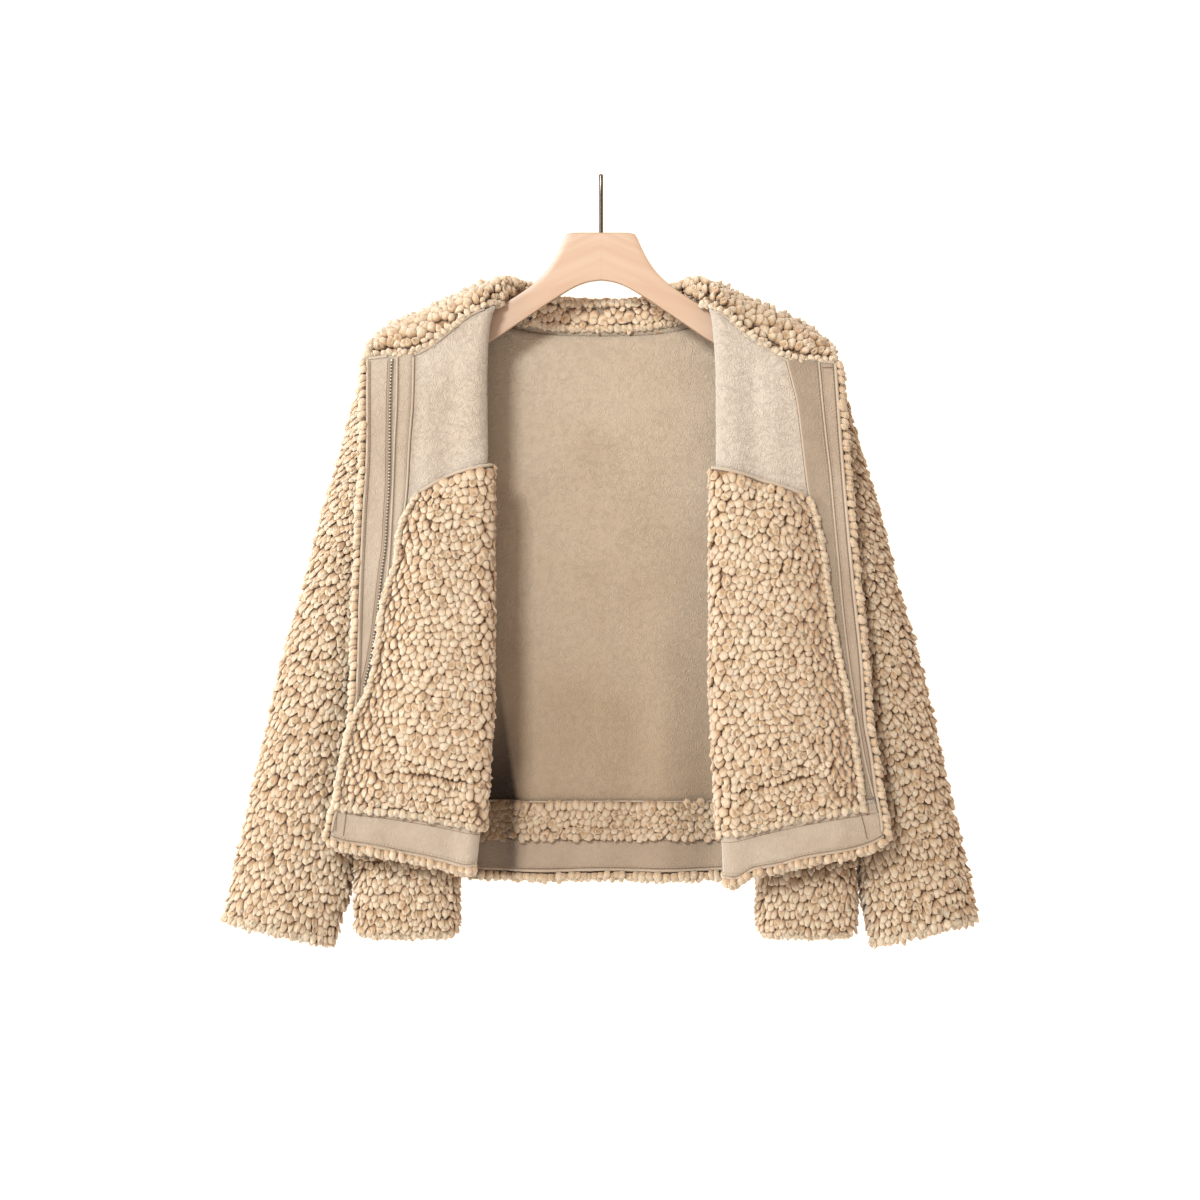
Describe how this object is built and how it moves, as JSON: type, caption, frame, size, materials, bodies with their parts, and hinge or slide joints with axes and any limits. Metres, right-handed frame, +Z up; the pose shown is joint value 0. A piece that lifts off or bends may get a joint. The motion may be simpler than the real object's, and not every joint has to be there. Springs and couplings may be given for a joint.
{
  "type": "fleece jacket on a wooden hanger",
  "caption": "Cropped fleece jacket with curly pile outside and suede inside, hanging open on a flat wooden hanger with its fronts folded back outward.",
  "frame": {"origin": "top end of the hanger's straight rod, on its axis, where the rod is held", "axes": "+Z up along the rod, -Y out of the jacket's open front towards the viewer, +X to the viewer's right"},
  "size_m": [0.762, 0.0999, 0.772],
  "materials": {
    "pile": "curly deep pile, matt",
    "suede": "brushed suede nap, matt",
    "facing": "smooth suede strips, stitched",
    "zip": "fine metal teeth on a woven tape",
    "wood": "sanded maple, matt lacquer",
    "rod": "satin metal"
  },
  "bodies": {
    "root": {"back": "pile", "front_l": "suede", "front_r": "suede", "yoke_l": "pile", "yoke_r": "pile", "collar_back": "pile", "sleeve_l": "pile", "sleeve_r": "pile", "tube_l": "pile", "tube_r": "pile", "pocket_l": "pile", "pocket_r": "pile", "facing_l": "facing", "facing_r_inner": "facing", "facing_r_outer": "facing", "zip_l": "zip", "hem_l": "facing", "hem_r": "facing", "back_strip": "pile", "hem_back": "facing", "hanger_wood": "wood", "hanger_rod": "rod"}
  },
  "joints": []
}
